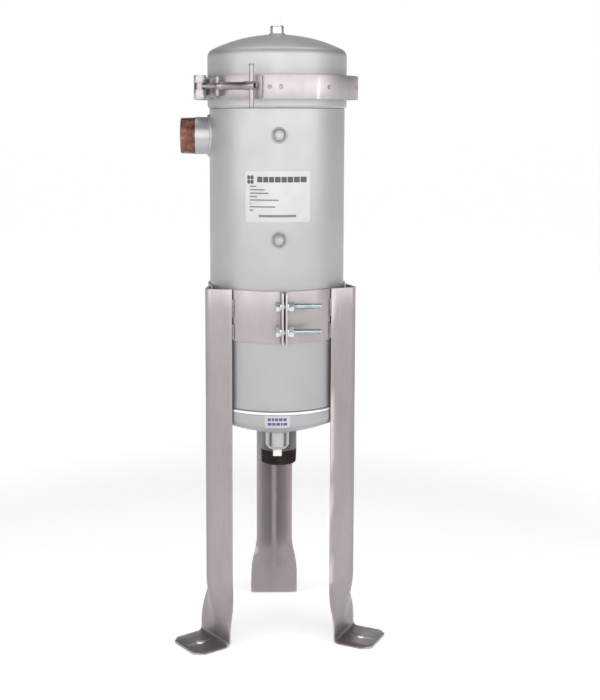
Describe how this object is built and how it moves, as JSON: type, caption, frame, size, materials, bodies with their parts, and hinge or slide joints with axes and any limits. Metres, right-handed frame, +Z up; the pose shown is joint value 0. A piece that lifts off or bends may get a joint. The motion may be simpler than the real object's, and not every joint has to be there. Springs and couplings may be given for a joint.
{
  "type": "compressed air filter",
  "caption": "Free-standing compressed air filter: painted pressure vessel with a band-clamped domed lid, side inlet, plugged ports and drain, held in a clamped bent-plate leg stand.",
  "frame": {"origin": "middle of the footprint, at floor level; the vessel axis is 6.0 mm towards -X and 16.6 mm towards -Y of it", "axes": "+Z up along the vessel; -Y is the front, with the label and the drain; the inlet points to -X"},
  "size_m": [0.3458, 0.3398, 1.0098],
  "materials": {
    "paint": "satin silver-grey enamel",
    "stainless": "mill-finish stainless plate, slightly warm grey",
    "polished": "bright machined stainless",
    "zinc": "bright zinc plate",
    "plug": "bright machined plug",
    "bare_pipe": "painted pipe stub with bare, tarnished copper-brown thread",
    "dark_pipe": "dark oiled steel pipe",
    "label": "white self-adhesive label",
    "rubber": "black nitrile",
    "media": "pleated filter paper",
    "core": "bare steel"
  },
  "bodies": {
    "stand": {"stand_band": "stainless", "leg_left": "stainless", "leg_right": "stainless", "leg_rear": "stainless", "stand_bolt_upper": "zinc", "stand_bolt_lower": "zinc", "stand_nut_upper": "zinc", "stand_nut_lower": "zinc", "stand_washer_upper_head": "zinc", "stand_washer_upper_nut": "zinc", "stand_washer_lower_head": "zinc", "stand_washer_lower_nut": "zinc"},
    "vessel": {"shell": "paint", "body_flange": "paint", "bottom_head": "paint", "tube_sheet": "core", "inlet_pipe": "bare_pipe", "outlet_pipe": "dark_pipe", "gauge_coupling_upper": "paint", "gauge_coupling_lower": "paint", "gauge_plug_upper": "paint", "gauge_plug_lower": "paint", "drain_coupling": "polished", "main_label": "label", "drain_label": "label", "element_lower_cap": "core", "element_upper_cap": "core", "element_media": "media", "element_core": "core", "element_gasket": "rubber", "tie_rod": "zinc", "hold_down_plate": "core", "hold_down_washer": "zinc", "lid": "paint", "lid_gasket": "rubber", "vent_coupling": "polished", "clamp_retainer_right": "stainless", "clamp_retainer_rear": "stainless", "clamp_retainer_left": "stainless", "clamp_strap": "stainless", "clamp_saddle": "polished"},
    "swing_bolt": {"clamp_bolt": "polished"},
    "barrel_nut": {"clamp_nut": "polished"},
    "tommy_bar": {"clamp_bar": "polished"},
    "vent_plug": {"vent_plug": "plug"},
    "drain_plug": {"drain_plug": "plug"},
    "wing_nut": {"hold_down_nut": "zinc"}
  },
  "joints": [
    {"name": "vessel_height", "type": "slide", "parent": "stand", "child": "vessel", "axis": [0, 0, 1], "range_m": [-0.06, 0.09]},
    {"name": "clamp_bolt_swing", "type": "hinge", "parent": "vessel", "child": "swing_bolt", "pos_m": [-0.12633, -0.10898, 0.9015], "axis": [0, 0, -1], "range_deg": [0, 90]},
    {"name": "clamp_nut_turn", "type": "hinge", "parent": "swing_bolt", "child": "barrel_nut", "pos_m": [-0.08389, -0.13654, 0.9015], "axis": [0.8387, -0.5446, 0], "range_deg": [-30, 30]},
    {"name": "clamp_bar_slide", "type": "slide", "parent": "barrel_nut", "child": "tommy_bar", "axis": [0, 0, 1], "range_m": [-0.0225, 0.0245]},
    {"name": "vent_plug_turn", "type": "hinge", "parent": "vessel", "child": "vent_plug", "pos_m": [-0.00601, -0.01661, 1], "axis": [0, 0, 1], "continuous": true},
    {"name": "drain_plug_turn", "type": "hinge", "parent": "vessel", "child": "drain_plug", "pos_m": [-0.00501, -0.04661, 0.305], "axis": [0, 0, -1], "continuous": true},
    {"name": "hold_down_nut_turn", "type": "hinge", "parent": "vessel", "child": "wing_nut", "pos_m": [-0.00601, -0.01661, 0.787], "axis": [0, 0, 1], "continuous": true}
  ]
}
